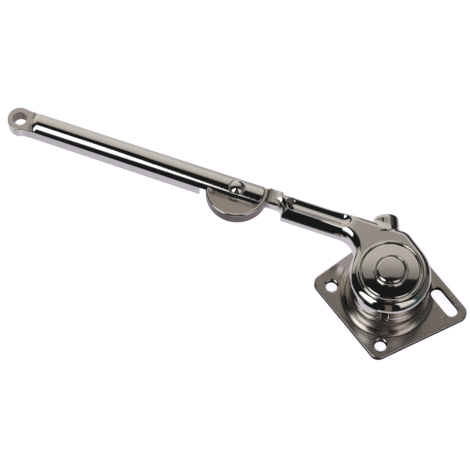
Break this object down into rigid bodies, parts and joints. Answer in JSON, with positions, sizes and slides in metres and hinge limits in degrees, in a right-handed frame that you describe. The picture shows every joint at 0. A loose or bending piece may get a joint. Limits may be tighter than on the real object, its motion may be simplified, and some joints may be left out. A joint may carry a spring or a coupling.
{
  "type": "folding friction stay",
  "caption": "Two-arm folding stay for a window or flap: a slotted mounting plate carries a round friction drum, a short arm, a riveted elbow and a long crowned arm with an eye.",
  "frame": {"origin": "on the drum's axis, at the back face of the mounting plate", "axes": "+Z along the drum's axis, away from the plate; -X along the arms towards the eye; +Y towards the side that the elbow folds to"},
  "size_m": [0.2017, 0.0568, 0.0288],
  "materials": {
    "polished_plating": "polished plating on die-cast zinc",
    "plate_plating": "satin to bright plating",
    "plain_steel": "plain turned steel",
    "friction_lining": "dark friction material",
    "glide_bronze": "plain bearing bronze"
  },
  "bodies": {
    "base": {"mounting_plate": "plate_plating", "base_drum": "plate_plating", "brake_hub": "plain_steel", "retaining_ring": "plain_steel", "glide_ring": "glide_bronze"},
    "drum": {"drum_arm": "polished_plating", "cap_disc": "polished_plating", "axle_bolt": "polished_plating", "clamp_nut": "plain_steel", "disc_spring_upper": "plain_steel", "disc_spring_lower": "plain_steel", "pressure_washer": "plain_steel", "friction_disc": "friction_lining", "brake_shoe": "plain_steel", "brake_spring": "plain_steel", "knuckle_rivet": "polished_plating", "knuckle_washer": "plain_steel", "tail_washer": "plain_steel"},
    "reach": {"long_arm": "polished_plating"},
    "adjuster": {"brake_screw": "plain_steel"}
  },
  "joints": [
    {"name": "drum_turn", "type": "hinge", "parent": "base", "child": "drum", "pos_m": [0, 0, 0.016], "axis": [0, 0, 1], "range_deg": [-40, 70]},
    {"name": "elbow_fold", "type": "hinge", "parent": "drum", "child": "reach", "pos_m": [-0.0696, 0.0145, 0.0225], "axis": [0, 0, -1], "range_deg": [0, 130]},
    {"name": "adjuster_turn", "type": "hinge", "parent": "drum", "child": "adjuster", "pos_m": [-0.00805, 0.01993, 0.02125], "axis": [-0.3746, 0.9272, 0], "range_deg": [0, 90]}
  ]
}
